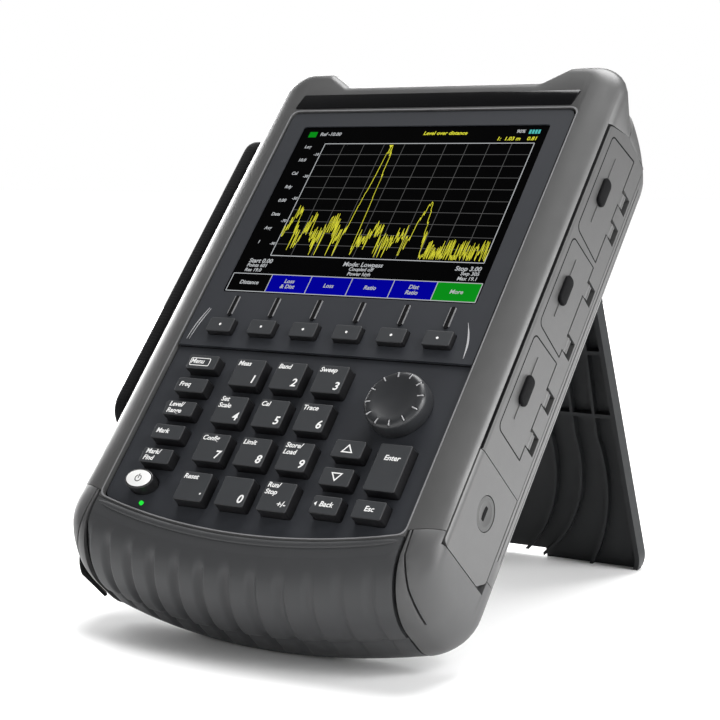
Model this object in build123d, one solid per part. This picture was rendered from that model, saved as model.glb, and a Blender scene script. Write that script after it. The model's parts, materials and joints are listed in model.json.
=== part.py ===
from build123d import *
import math
import os

# Handheld vector network analyzer, leaning back on its hinged rear stand.
# Every piece is modelled in the instrument frame: x to the right, y up the face,
# z out of the face, with the origin at the centre of the display window.
# The finished pieces are then laid back onto the table (see "placing" below).
# Millimetres.

# ---- driving dimensions ----
body_width = 188.0
horn_top = 88.0            # top of the corner horns
bezel_top = 79.0           # top edge between the horns
body_bottom = -204.0       # lowest point of the grip boot
back_z = -57.0             # rear face of the case
seam_z = -23.0             # seam between front housing and rear cover
lean_back = 41.3           # angle of the face behind the vertical
window_width = 134.5
window_height = 101.4
panel_half_width = 77.5
panel_top = 60.0
bottom_radius = 311.0      # radius of the curved bottom edge
keypad_top = -81.5         # step down from the display bezel to the keypad
keypad_z = -1.4            # keypad surface below the bezel surface
key_rise = 3.5             # key tops above the display bezel surface
key_gap = 0.35             # clearance around each key in its cut-out
stand_hinge_y = 42.0
stand_hinge_z = -61.5
stand_open = 58.5          # stand opening angle from folded flat
stand_length = 190.0
stand_depth = 7.4
stand_top_half = 66.0      # half width of the stand at its hinge
stand_foot_half = 75.0     # half width of the stand at its foot
stand_wall = 2.4
stand_rib = 1.6
foot_gap_half = 19.0       # half width of the raised middle of the foot
battery_length = 132.0
side_x = body_width / 2
rest_cut = 1.0             # depth of the flat worn onto the boot's resting ridge

front_round = 28.0         # bottom front corner of the boot, seen from the side
rear_round = 19.0          # bottom rear corner of the boot, seen from the side
crown_round = 40.0         # top rear corner of the horns, seen from the side
shoulder_width = 15.0      # broad soft shoulder along both sides of the face
shoulder_depth = 7.5
door_hinge_x = 91.9
door_hinge_z = -38.5

# ---- placing: instrument frame to table frame ----
up_y = math.cos(math.radians(lean_back))
up_z = math.sin(math.radians(lean_back))
corner_y = body_bottom + rear_round
corner_z = back_z - 1 + rear_round
rest_y = corner_y - rear_round * up_y + rest_cut * up_y
rest_z = corner_z - rear_round * up_z + rest_cut * up_z
table_turn = Rot(90 - lean_back, 0, 0)
table_shift = Pos(0, -(rest_y * up_z - rest_z * up_y), -(rest_y * up_y + rest_z * up_z))
place = table_shift * table_turn

parts = {}


def box(x0, x1, y0, y1, z0, z1):
    # plain block between two corners
    centre = Pos((x0 + x1) / 2, (y0 + y1) / 2, (z0 + z1) / 2)
    return centre * Box(abs(x1 - x0), abs(y1 - y0), abs(z1 - z0))


def slab(width, height, radius, x, y, z0, z1):
    # rounded rectangle plate from z0 up to z1, centred at x, y
    sketch = Pos(x, y, z0) * RectangleRounded(width, height, radius)
    return extrude(sketch, z1 - z0)


def rod_x(x0, x1, y, z, radius):
    return Pos((x0 + x1) / 2, y, z) * Rot(0, 90, 0) * Cylinder(radius, abs(x1 - x0))


def rod_y(x, y0, y1, z, radius):
    return Pos(x, (y0 + y1) / 2, z) * Rot(90, 0, 0) * Cylinder(radius, abs(y1 - y0))


def rod_z(x, y, z0, z1, radius):
    return Pos(x, y, (z0 + z1) / 2) * Cylinder(radius, abs(z1 - z0))


def arc_y(x, crown):
    # y of the shallow bottom curve whose lowest point is crown
    return crown + bottom_radius - math.sqrt(bottom_radius ** 2 - x ** 2)


# ---- outer shape, shared by every casing piece ----

def outline(inset):
    # front view of the case: horns at the top corners, shallow curve at the bottom
    half = side_x - inset
    low = body_bottom + inset
    shoulder = [(-half, arc_y(half, low)), (-half, horn_top - inset), (-66, horn_top - inset),
                (-53, bezel_top - inset), (53, bezel_top - inset), (66, horn_top - inset),
                (half, horn_top - inset), (half, arc_y(half, low))]
    top = Polyline(*shoulder)
    bottom = ThreePointArc(shoulder[-1], (0, low), shoulder[0])
    face = make_face([top, bottom])
    corners = face.vertices().group_by(Axis.Y)
    face = fillet(corners[0], max(22 - inset, 6))
    upper = face.vertices().filter_by_position(Axis.Y, horn_top - inset - 1, horn_top)
    face = fillet([v for v in upper if abs(v.X) > half - 1], max(15 - inset, 4))
    upper = face.vertices().filter_by_position(Axis.Y, bezel_top - inset - 1, horn_top)
    return fillet([v for v in upper if abs(v.X) < 70], 7)


def side_profile(inset):
    # side view of the case with its rounded lower end and crown, extruded across the width
    low = body_bottom + inset
    high = horn_top + 1 - inset
    front = 1.0 - inset
    rear = back_z - 1 + inset
    drawn = Polyline((high, front), (low, front), (low, rear), (high, rear), (high, front))
    face = make_face(drawn)
    face = fillet(face.vertices().filter_by_position(Axis.X, high - 1, high + 1)
                  .filter_by_position(Axis.Y, rear - 1, rear + 1), crown_round - inset)
    face = fillet(face.vertices().filter_by_position(Axis.X, low - 1, low + 1)
                  .filter_by_position(Axis.Y, front - 1, front + 1), front_round - inset)
    face = fillet(face.vertices().filter_by_position(Axis.X, low - 1, low + 1)
                  .filter_by_position(Axis.Y, rear - 1, rear + 1), rear_round - inset)
    solid = extrude(face, 120, both=True)
    # drawn as (y, z) in the sketch plane, so turn it: x->y, y->z, z->x
    return Plane(origin=(0, 0, 0), x_dir=(0, 1, 0), z_dir=(1, 0, 0)).location * solid


def cross_profile():
    # plan view of the case with its elliptical front shoulders, extruded up the face
    flat = side_x - shoulder_width
    right = EllipticalCenterArc((flat, -shoulder_depth), shoulder_width, shoulder_depth, start_angle=0, arc_size=90)
    left = EllipticalCenterArc((-flat, -shoulder_depth), shoulder_width, shoulder_depth, start_angle=90, arc_size=90)
    front = Line((flat, 0), (-flat, 0))
    rest = Polyline((-side_x, -shoulder_depth), (-side_x, -80), (side_x, -80), (side_x, -shoulder_depth))
    solid = extrude(make_face([right, front, left, rest]), 260, both=True)
    # drawn as (x, z) in the sketch plane, so turn it: y of the sketch -> z
    return Rot(90, 0, 0) * solid


def case(inset, front_radius, rear_radius):
    # solid case shape, shrunk on every side by inset
    solid = extrude(Pos(0, 0, back_z + inset) * outline(inset), -back_z - 2 * inset)
    if front_radius:
        front = solid.edges().filter_by_position(Axis.Z, -inset - 0.1, -inset + 0.1)
        solid = fillet(front, front_radius)
    if rear_radius:
        rear = solid.edges().filter_by_position(Axis.Z, back_z + inset - 0.1, back_z + inset + 0.1)
        solid = fillet(rear, rear_radius)
    return solid & side_profile(inset)


def below_arc(crown, half, z0, z1):
    # everything under the shallow curve that has its lowest point at crown
    edge = ThreePointArc((-half, arc_y(half, crown)), (0, crown), (half, arc_y(half, crown)))
    rest = Polyline((half, arc_y(half, crown)), (half, -260), (-half, -260), (-half, arc_y(half, crown)))
    return extrude(Pos(0, 0, z0) * make_face([edge, rest]), z1 - z0)


shoulders = cross_profile()
full_case = case(0, 5, 9) & shoulders
inner_tub = case(6.5, 0, 6)
hollow_upper = case(4.0, 0, 5) - box(-120, 120, -260, -150, -80, 20)
hollow_lower = case(9.5, 0, 4) & box(-120, 120, -150, -260, -80, 20)
hollow = (hollow_upper + hollow_lower) & box(-88, 84, -260, 120, -54, -4)

boot_half = 79.5
boot_zone = below_arc(-174.5, boot_half, -80, 20)
bumper_zone = below_arc(-171.5, 120, -80, 20) - box(-boot_half, boot_half, -260, 0, -80, 20)

outer_skin = full_case - inner_tub
grip_boot = outer_skin & boot_zone
bumpers = outer_skin & bumper_zone
casing = full_case - boot_zone - bumper_zone + (inner_tub & box(-120, 120, -260, -140, -80, 20))
casing = casing - hollow

# ---- openings shared by both casing halves ----
port_span = (-118.0, 62.5)
port_pocket = box(88, 96, port_span[0], port_span[1], -44.5, -5)
port_windows = box(82, 92, -110, 49, -35, -13)
door_gap = box(91, 96, -163, -118, -44.5, -4.5)
battery_hole = box(80, 96, -160, -121, -44, -8)
top_recess = box(-58, 58, 60, 100, -50, -11)
casing = casing - port_pocket - port_windows - door_gap - battery_hole - top_recess
bumpers = bumpers - door_gap - battery_hole

front_block = box(-120, 120, -260, 120, seam_z, 20)
front_housing = casing & front_block
rear_cover = casing - front_block

# front panel seat: the dark panel drops into a rebate of the front housing
panel_depth = 3.4


def panel_outline(gap):
    half = panel_half_width - gap
    crown = -172.7 + gap
    ends = (half, arc_y(half, crown))
    sides = Polyline((-half, ends[1]), (-half, panel_top - gap), (half, panel_top - gap), ends)
    arc = ThreePointArc(ends, (0, crown), (-half, ends[1]))
    face = make_face([sides, arc])
    return fillet(face.vertices(), 4)


front_housing = front_housing - extrude(Pos(0, 0, -panel_depth) * panel_outline(0), 20)
front_housing = front_housing - extrude(Pos(0, 0, -30) * panel_outline(3), 40)
strip_rebate = slab(150, 9.6, 1.2, -1, 66.4, -1.2, 5)
front_housing = front_housing - strip_rebate
rear_bay = box(-78, 78, -150, 52, back_z - 2, back_z + 1.5)
rear_cover = rear_cover - (rear_bay & box(-79, 79, -146, 50, -80, -40))

# two lugs on the rear cover carry the stand's hinge pin
for lug_x in (-60, 52):
    lug = box(lug_x, lug_x + 8, stand_hinge_y - 3.5, stand_hinge_y + 3.5, stand_hinge_z, back_z + 3)
    lug = lug + rod_x(lug_x, lug_x + 8, stand_hinge_y, stand_hinge_z, 3.5)
    rear_cover = rear_cover + lug
pin_bore = rod_x(-61, 61, stand_hinge_y, stand_hinge_z, 2.0)
rear_cover = rear_cover - pin_bore

# moulded screw towers join the two halves
screw_spots = [(-82, 54), (82, 54), (-82, -56), (-82, -146), (77.5, -115)]
head_z = back_z + 4.5
screws = []
for spot_x, spot_y in screw_spots:
    rear_cover = rear_cover + rod_z(spot_x, spot_y, back_z + 1, seam_z, 4.5)
    rear_cover = rear_cover - rod_z(spot_x, spot_y, back_z - 6, head_z, 2.9)
    rear_cover = rear_cover - rod_z(spot_x, spot_y, head_z - 1, seam_z + 1, 1.6)
    front_housing = front_housing + rod_z(spot_x, spot_y, seam_z, -4.0, 4.5)
    front_housing = front_housing - rod_z(spot_x, spot_y, seam_z - 1, -13.0, 1.4)
    screw = rod_z(spot_x, spot_y, head_z - 2.4, head_z, 2.6) + rod_z(spot_x, spot_y, head_z - 1, -13.5, 1.4)
    socket_tool = Pos(spot_x, spot_y, head_z - 2.4) * extrude(RegularPolygon(1.3, 6), 1.3)
    screws.append(screw - socket_tool)

parts["front_housing"] = front_housing
parts["rear_cover"] = rear_cover
parts["grip_boot"] = grip_boot
parts["corner_bumpers"] = bumpers
parts["housing_screws"] = screws

# ---- display and front panel ----
bezel_z = -0.4
panel = extrude(Pos(0, 0, -panel_depth) * panel_outline(0.6), panel_depth + bezel_z)
panel = panel - box(-90, 90, -200, keypad_top, bezel_z + keypad_z, 5)
panel = panel - slab(window_width, window_height, 1.5, 0, 0, -10, 5)
parts["display_window"] = slab(window_width - 0.4, window_height - 0.4, 1.3, 0, 0, -2.6, bezel_z - 0.5)
parts["display_module"] = slab(142, 108, 2, 0, 0, -11.5, -4.5) - slab(120, 86, 2, 0, 0, -12, -8)
parts["name_strip"] = slab(149.4, 9.0, 1.0, -1, 66.4, -1.2, -0.2)

# ---- keys: name -> (centre x, centre y, width, height, corner radius, rise) ----
keys = {}
softkey_pitch = 22.83
for number in range(6):
    keys[f"softkey_{number + 1}"] = (-56.6 + number * softkey_pitch, -71.2, 13.4, 7.6, 0.8, key_rise - 1.0)
for number in range(5):
    keys[f"function_key_{number + 1}"] = (-55.2, -93.0 - number * 12.52, 16.1, 7.4, 0.8, key_rise)
number_names = ["1", "2", "3", "4", "5", "6", "7", "8", "9", "point", "0", "sign"]
for number, name in enumerate(number_names):
    column = number % 3
    row = number // 3
    keys[f"number_key_{name}"] = (-28.6 + column * 21.79, -96.7 - row * 19.7, 15.0, 14.0, 0.8, key_rise)
keys["up_key"] = (38.8, -129.7, 14.6, 8.4, 0.8, key_rise)
keys["down_key"] = (38.8, -143.3, 14.6, 8.4, 0.8, key_rise)
keys["back_key"] = (39.6, -156.8, 13.4, 8.4, 0.8, key_rise)
keys["escape_key"] = (60.0, -156.4, 14.2, 8.4, 0.8, key_rise)
keys["enter_key"] = (60.7, -136.4, 15.0, 22.3, 0.8, key_rise)

flange_top = -panel_depth - 0.1
for name, (key_x, key_y, key_w, key_h, key_r, rise) in keys.items():
    stem = slab(key_w, key_h, key_r, key_x, key_y, flange_top, rise)
    rim = stem.edges().filter_by_position(Axis.Z, rise - 0.01, rise + 0.01)
    key = fillet(rim, 0.45)
    flange = slab(key_w + 2.4, key_h + 2.4, key_r + 1, key_x, key_y, flange_top - 1, flange_top)
    parts[name] = key + flange
    panel = panel - slab(key_w + 2 * key_gap, key_h + 2 * key_gap, key_r + key_gap, key_x, key_y, -10, 5)

power_x = -58.4
power_y = -155.2
power = Pos(power_x, power_y, flange_top) * extrude(Ellipse(7.4, 4.9), key_rise - flange_top)
power = fillet(power.edges().filter_by_position(Axis.Z, key_rise - 0.01, key_rise + 0.01), 0.5)
power_flange = Pos(power_x, power_y, flange_top - 1) * extrude(Ellipse(8.6, 6.1), 1.0)
parts["power_key"] = power + power_flange
panel = panel - Pos(power_x, power_y, -10) * extrude(Ellipse(7.4 + key_gap, 4.9 + key_gap), 20)

led_x = -55.4
led_y = -164.2
panel = panel - rod_z(led_x, led_y, -10, 5, 1.25)
parts["front_housing"] = parts["front_housing"] - rod_z(led_x, led_y, -12, 5, 1.3)
parts["status_led"] = rod_z(led_x, led_y, -6.6, bezel_z + keypad_z + 0.4, 1.0)

# ---- tuning knob on its encoder ----
knob_x = 52.3
knob_y = -105.5
knob_radius = 14.2
knob_top = 7.0
knob_base = bezel_z + keypad_z + 0.4
knob = rod_z(knob_x, knob_y, knob_base, knob_top, knob_radius)
knob = fillet(knob.edges().filter_by_position(Axis.Z, knob_top - 0.01, knob_top + 0.01), 2.2)
dish_radius = 40.0
knob = knob - Pos(knob_x, knob_y, knob_top + dish_radius - 1.6) * Sphere(dish_radius)
grip_count = 12
for number in range(grip_count):
    angle = math.radians(360 * number / grip_count)
    groove_x = knob_x + (knob_radius + 0.8) * math.cos(angle)
    groove_y = knob_y + (knob_radius + 0.8) * math.sin(angle)
    knob = knob - rod_z(groove_x, groove_y, knob_base - 1, knob_top + 2, 1.7)
shaft_bore = rod_z(knob_x, knob_y, knob_base - 1, 4.0, 3.05)
knob = knob - shaft_bore
parts["tuning_knob"] = knob
panel = panel - rod_z(knob_x, knob_y, -10, 5, 4.8)
bushing = rod_z(knob_x, knob_y, -6.0, -2.2, 4.5)
shaft = rod_z(knob_x, knob_y, -6.0, 3.6, 3.0)
encoder_body = slab(13, 13, 1, knob_x, knob_y, -14.5, -7.7)
neck = rod_z(knob_x, knob_y, -7.7, -6.0, 2.6)
parts["knob_encoder"] = encoder_body + neck + bushing + shaft
parts["front_panel"] = panel

# ---- boards inside ----
keypad_board = extrude(Pos(0, 0, -7.7) * panel_outline(3.4), 0.8) & box(-74, 74, -180, -62, -8, -6)
keypad_board = keypad_board - rod_z(knob_x, knob_y, -9, -5, 2.8)
parts["keypad_board"] = keypad_board
parts["main_board"] = box(-74, 72, -114, 52, -30.6, -29)
shield = box(-70, 60, -50, 48, -50, -33)
shield = fillet(shield.edges().filter_by_position(Axis.Z, -50.1, -49.9), 1.5)
parts["rf_module"] = shield + box(-66, -60, -46, -40, -33, -30.6) + box(50, 56, 38, 44, -33, -30.6)
battery_x = 89.0
parts["battery_pack"] = box(battery_x - battery_length, battery_x, -159, -122, -43.2, -9.9)

# ---- connectors in the recess between the horns ----
connector_z = -30.5
top_panel = box(-57.6, 57.6, 60.0, 62.0, -49.6, -11.4)
connectors = []
port_spread = 38.0
for centre_x in (-port_spread, port_spread):
    flange = box(centre_x - 9, centre_x + 9, 62.0, 63.5, connector_z - 9, connector_z + 9)
    barrel = rod_y(centre_x, 62.0, 77.5, connector_z, 7.9)
    cavity = rod_y(centre_x, 65.5, 80.0, connector_z, 6.2)
    pin = rod_y(centre_x, 63.0, 75.0, connector_z, 1.6) - rod_y(centre_x, 70.0, 76.0, connector_z, 0.8)
    connectors.append(flange + barrel - cavity + pin)
for centre_x in (-12.0, 12.0):
    hexagon = Pos(centre_x, 62.0, connector_z) * Rot(-90, 0, 0) * extrude(RegularPolygon(4.6, 6), 2.4)
    barrel = rod_y(centre_x, 62.0, 73.0, connector_z, 3.1)
    cavity = rod_y(centre_x, 67.0, 76.0, connector_z, 2.3)
    pin = rod_y(centre_x, 65.0, 72.0, connector_z, 0.65)
    connectors.append(hexagon + barrel - cavity + pin)
parts["top_panel"] = top_panel
parts["rf_connectors"] = connectors

# ---- port frame and its three hinged doors on the right side ----
frame = box(88.0, side_x, port_span[0] + 0.1, port_span[1] - 0.1, -44.4, -5.1)
# the upper end of the frame slopes up towards the back of the case
cut_sketch = make_face(Polyline((54, -5), (62.5, -22), (66, -22), (66, 0), (54, 0), (54, -5)))
yz_plane = Plane(origin=(80, 0, 0), x_dir=(0, 1, 0), z_dir=(1, 0, 0)).location
frame_corner = yz_plane * extrude(cut_sketch, 20)
doors = {"upper": (0.0, 52.0, 6.0, 37.3, 20.0), "middle": (-51.6, -5.4, 2.0, -14.3, -43.4),
         "lower": (-104.4, -57.4, 2.0, -71.8, -93.0)}
door_inner_x = 91.2
pins = []
for name, (door_low, door_high, slope, notch_a, notch_b) in doors.items():
    corner_points = [(door_low, -10.2), (door_high, -10.2), (door_high + slope, -34.0), (door_low, -34.0)]
    door_face = make_face(Polyline(*corner_points, corner_points[0]))
    front_corners = door_face.vertices().filter_by_position(Axis.Y, -11, -10)
    door_face = fillet(front_corners, 3.0)
    recess_face = offset(door_face, 0.35)
    frame = frame - Pos(door_inner_x - 0.3 - 80, 0, 0) * yz_plane * extrude(recess_face, 10)
    # extra room behind the hinged edge, which dips as the door swings out
    frame = frame - box(door_inner_x - 0.3, 96, door_low - 0.35, door_high + slope + 0.3, -34.8, -33.9)
    door = Pos(door_inner_x - 80, 0, 0) * yz_plane * extrude(door_face, side_x - door_inner_x)
    mid_y = (door_low + door_high) / 2 + 0.5
    # thumb tab and the fine rib that runs through it
    tab = slab(6.4, 13.5, 2.4, 0, 0, 0, 1.3)
    door = door + Pos(side_x - 0.2, mid_y, -18.6) * Rot(0, 90, 0) * tab
    door = door + box(side_x - 0.3, side_x + 0.35, door_low + 10, door_high - 6, -19.0, -18.4)
    window = box(84, 96, door_low + 4, door_high - 4, -31.0, -14.0)
    frame = frame - window
    for notch in (notch_a, notch_b):
        frame = frame - box(89.4, 96, notch - 4.6, notch + 4.6, -43.0, -33.6)
        knuckle = rod_y(door_hinge_x, notch - 3.4, notch + 3.4, door_hinge_z, 2.0)
        arm = box(91.2, 93.4, notch - 3.4, notch + 3.4, door_hinge_z, -33.9)
        door = door + knuckle + arm
        door = door - rod_y(door_hinge_x, notch - 4, notch + 4, door_hinge_z, 1.05)
    bottom_pin = min(notch_a, notch_b) - 9.5
    top_pin = max(notch_a, notch_b) + 9.5
    frame = frame - rod_y(door_hinge_x, bottom_pin, top_pin, door_hinge_z, 1.0)
    pins.append(rod_y(door_hinge_x, bottom_pin, top_pin, door_hinge_z, 1.0))
    parts[f"port_door_{name}"] = door
frame = (frame - frame_corner) & shoulders
parts["side_port_frame"] = frame
parts["door_hinge_pins"] = pins

# corner of the casing that fills the sloped end of the port frame
filler = frame_corner & box(88.0, side_x - 0.8, 40, port_span[1], -23, -5.0)
parts["front_housing"] = parts["front_housing"] + filler


def socket(y, z, height, depth, hole_height, hole_depth):
    # square-mouthed socket whose mouth opens to the right
    shell = box(74, 90.4, y - height / 2, y + height / 2, z - depth / 2, z + depth / 2)
    return shell - box(79, 92, y - hole_height / 2, y + hole_height / 2, z - hole_depth / 2, z + hole_depth / 2)


def round_socket(y, z, size, radius):
    shell = box(74, 90.4, y - size / 2, y + size / 2, z - size / 2, z + size / 2)
    return shell - rod_x(79, 92, y, z, radius)


sockets = [socket(36, -22.3, 16.4, 14, 12.0, 9.0),
           round_socket(12, -22.3, 9, 1.9),
           socket(-18, -22.5, 14.6, 8, 12.6, 5.2),
           socket(-40, -22.5, 14.6, 8, 12.6, 5.2),
           socket(-69, -22.5, 14, 6, 11.4, 2.4),
           round_socket(-92, -22.5, 10, 1.8)]
parts["side_sockets"] = sockets

# ---- battery door with its push latch ----
door_plate_inner = 91.2
cover_sketch = make_face(Polyline((-162.6, -5.0), (-118.4, -5.0), (-118.4, -44.0), (-158.0, -44.0),
                                  (-162.6, -38.0), (-162.6, -5.0)))
cover_sketch = fillet(cover_sketch.vertices().filter_by_position(Axis.X, -163, -150), 3.0)
battery_door = yz_plane * extrude(cover_sketch, 20) & box(door_plate_inner, side_x, -170, -110, -60, 0)
battery_door = battery_door & shoulders
latch_y = -136.5
latch_z = -25.0
latch_radius = 7.6
battery_door = battery_door - rod_x(door_plate_inner + 1.0, 96, latch_y, latch_z, latch_radius)
battery_door = battery_door - rod_x(door_plate_inner - 1, 96, latch_y, latch_z, 3.2)
latch = rod_x(door_plate_inner + 2.0, side_x - 0.2, latch_y, latch_z, latch_radius - 0.35)
latch = latch - Pos(side_x + 23.2, latch_y, latch_z) * Sphere(24)
latch = latch + rod_x(door_plate_inner + 0.2, door_plate_inner + 2.0, latch_y, latch_z, 2.9)
parts["battery_door"] = battery_door
parts["battery_door_latch"] = latch

# ---- stand: ribbed tray, modelled folded flat and then swung open ----
stand_back = back_z - 0.6 - stand_depth
stand_top = stand_hinge_y - 6
stand_low = stand_hinge_y - stand_length
tray_points = [(-stand_top_half, stand_top), (stand_top_half, stand_top),
               (stand_foot_half, stand_low), (-stand_foot_half, stand_low)]
tray_face = make_face(Polyline(*tray_points, tray_points[0]))
tray_face = fillet(tray_face.vertices().group_by(Axis.Y)[0], 17)
tray = extrude(Pos(0, 0, stand_back) * tray_face, stand_depth)
tray_hollow = extrude(Pos(0, 0, stand_back + 2.2) * offset(tray_face, -stand_wall), 20)
ribs = box(-80, 80, stand_hinge_y - 65, stand_hinge_y - 63, -80, -40)
ribs = ribs + box(-80, 80, stand_hinge_y - 98.5, stand_hinge_y - 96.5, -80, -40)
for rib_x in (-58, -46, -32, 0, 32, 46, 58):
    ribs = ribs + box(rib_x - stand_rib / 2, rib_x + stand_rib / 2, stand_low + 80, stand_top, -80, -40)
for side in (-1, 1):
    for start_x, end_x, rise in ((58, 44, 8), (46, 12, 14), (32, 2, 12)):
        near = (side * start_x, stand_low + 81)
        far = (side * end_x, stand_low + 6)
        middle = (side * ((start_x + end_x) / 2 + rise), (near[1] + far[1]) / 2)
        spine = ThreePointArc(near, middle, far)
        ribs = ribs + extrude(Pos(0, 0, -72) * trace(spine, stand_rib), 30)
tray = tray - (tray_hollow - (ribs & box(-90, 90, -160, 60, -80, back_z - 2.2)))
# knuckles around the hinge pin, between and outside the cover's lugs
for x0, x1 in ((-51.6, 51.6), (60.4, stand_top_half), (-stand_top_half, -60.4)):
    knuckle = rod_x(x0, x1, stand_hinge_y, stand_hinge_z, 3.2)
    web = box(x0, x1, stand_top - 2, stand_hinge_y, stand_back, stand_back + 3.2)
    tray = tray + knuckle + web
tray = tray - rod_x(-70, 70, stand_hinge_y, stand_hinge_z, 2.05)
# the middle of the foot is raised so that the stand touches down on two feet
tray = tray - box(-foot_gap_half, foot_gap_half, stand_low - 5, stand_low + 12.5, -80, -40)
hinge_axis = Pos(0, stand_hinge_y, stand_hinge_z)
swing = hinge_axis * Rot(stand_open, 0, 0) * Pos(0, -stand_hinge_y, -stand_hinge_z)
parts["stand"] = swing * tray
parts["stand_hinge_pin"] = rod_x(-66, 66, stand_hinge_y, stand_hinge_z, 2.0)

# ---- hand strap along the left side ----
strap_z = -34.0
strap_x = -103.5
strap_pad = Pos(strap_x, -32.5, strap_z) * Box(7, 161, 40)
strap_pad = fillet(strap_pad.edges().filter_by(Axis.X), 12)
strap_pad = fillet(strap_pad.edges(), 1.8)
parts["hand_strap"] = strap_pad
anchor_y = (62.0, -165.0)
anchors = []
for centre_y in anchor_y:
    bridge = box(-101.5, -side_x, centre_y - 3.5, centre_y + 3.5, strap_z - 14, strap_z + 14)
    bridge = fillet(bridge.edges().filter_by_position(Axis.X, -101.6, -101.4), 2.0)
    bridge = bridge - box(-98.6, -94.6, centre_y - 5, centre_y + 5, strap_z - 11, strap_z + 11)
    anchors.append(bridge)
parts["strap_anchors"] = anchors
# webbing runs from each end of the pad through its anchor; the tail follows the bottom corner
webbing_x = -96.8
upper_run = Polyline((strap_x, 48.7), (webbing_x, 58), (webbing_x, 68))
lower_run = Polyline((strap_x, -113.7), (webbing_x, -124), (webbing_x, -172))
tail = ThreePointArc((webbing_x, -172), (-94.6, -182.5), (-88.4, -191.0))
webbing = []
for run in ([upper_run], [lower_run, tail]):
    flat = trace(Curve() + run, 1.5)
    webbing.append(extrude(Pos(0, 0, strap_z - 10) * flat, 20))
parts["strap_webbing"] = webbing

# ---- write the pieces ----
os.makedirs("parts", exist_ok=True)
below_table = Pos(0, 0, -50) * Box(400, 600, 100)
for name, shape in parts.items():
    solids = shape if isinstance(shape, list) else shape.solids()
    placed = []
    for solid in solids:
        for piece in solid.solids():
            piece = place * piece
            if name in ("stand", "grip_boot"):
                piece = piece - below_table
            placed.extend(piece.solids())
    export_step(Compound(children=placed) if len(placed) > 1 else placed[0], f"parts/{name}.step")
print(len(parts), "nodes written")
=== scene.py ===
import json
import math
import random
import bpy
import bmesh
from mathutils import Matrix, Vector
from mathutils.kdtree import KDTree


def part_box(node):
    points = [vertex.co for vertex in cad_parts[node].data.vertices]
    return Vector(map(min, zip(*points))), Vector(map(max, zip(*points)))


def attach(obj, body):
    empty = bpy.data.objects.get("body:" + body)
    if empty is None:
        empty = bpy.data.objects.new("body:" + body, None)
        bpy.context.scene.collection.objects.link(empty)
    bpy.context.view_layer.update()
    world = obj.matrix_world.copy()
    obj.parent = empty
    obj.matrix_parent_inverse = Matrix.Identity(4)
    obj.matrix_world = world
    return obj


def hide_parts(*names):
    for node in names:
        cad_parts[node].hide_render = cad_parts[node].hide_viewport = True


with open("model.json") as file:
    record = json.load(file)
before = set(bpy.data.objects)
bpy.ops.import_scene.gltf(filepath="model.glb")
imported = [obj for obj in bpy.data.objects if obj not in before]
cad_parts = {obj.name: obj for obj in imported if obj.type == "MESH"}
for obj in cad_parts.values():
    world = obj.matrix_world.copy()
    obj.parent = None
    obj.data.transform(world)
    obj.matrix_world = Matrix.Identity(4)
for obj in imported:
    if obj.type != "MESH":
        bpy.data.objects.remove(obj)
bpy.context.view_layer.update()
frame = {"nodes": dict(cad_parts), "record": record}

# Handheld vector network analyzer leaning back on its stand.
# New pieces are shaped in millimetres in the instrument's own frame: x right, y up the face,
# z out of the face, centre of the display window at zero. settle() lays them back into the row frame.

leanBack = math.radians(41.3)
windowSink = 1.75          # middle of the window's glass behind the face, mm
windowLow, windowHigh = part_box("display_window")
upFace = Vector((0, math.sin(leanBack), math.cos(leanBack)))
outFace = Vector((0, -math.cos(leanBack), math.sin(leanBack)))
faceOrigin = (windowLow + windowHigh) / 2 + outFace * windowSink * 0.001
layBack = Matrix.Translation(faceOrigin) @ Matrix((
    (1, 0, 0, 0),
    (0, upFace.y, outFace.y, 0),
    (0, upFace.z, outFace.z, 0),
    (0, 0, 0, 1))) @ Matrix.Scale(0.001, 4)
layUp = layBack.inverted()


def faceBox(node):
    # a CAD node's lowest and highest corners in the instrument frame, mm
    corners = [layUp @ v.co for v in frame["nodes"][node].data.vertices]
    low = Vector([min(c[i] for c in corners) for i in range(3)])
    high = Vector([max(c[i] for c in corners) for i in range(3)])
    return low, high


class Wire:
    # one output socket; plain arithmetic on it adds Math nodes
    def __init__(self, tree, socket):
        self.tree = tree
        self.socket = socket

    def maths(self, operation, first, second):
        node = self.tree.nodes.new("ShaderNodeMath")
        node.operation = operation
        for slotNumber, value in enumerate((first, second)):
            if isinstance(value, Wire):
                self.tree.links.new(value.socket, node.inputs[slotNumber])
            else:
                node.inputs[slotNumber].default_value = value
        return Wire(self.tree, node.outputs[0])

    def __add__(self, other):
        return self.maths("ADD", self, other)

    def __radd__(self, other):
        return self.maths("ADD", other, self)

    def __sub__(self, other):
        return self.maths("SUBTRACT", self, other)

    def __rsub__(self, other):
        return self.maths("SUBTRACT", other, self)

    def __mul__(self, other):
        return self.maths("MULTIPLY", self, other)

    def __rmul__(self, other):
        return self.maths("MULTIPLY", other, self)


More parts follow.
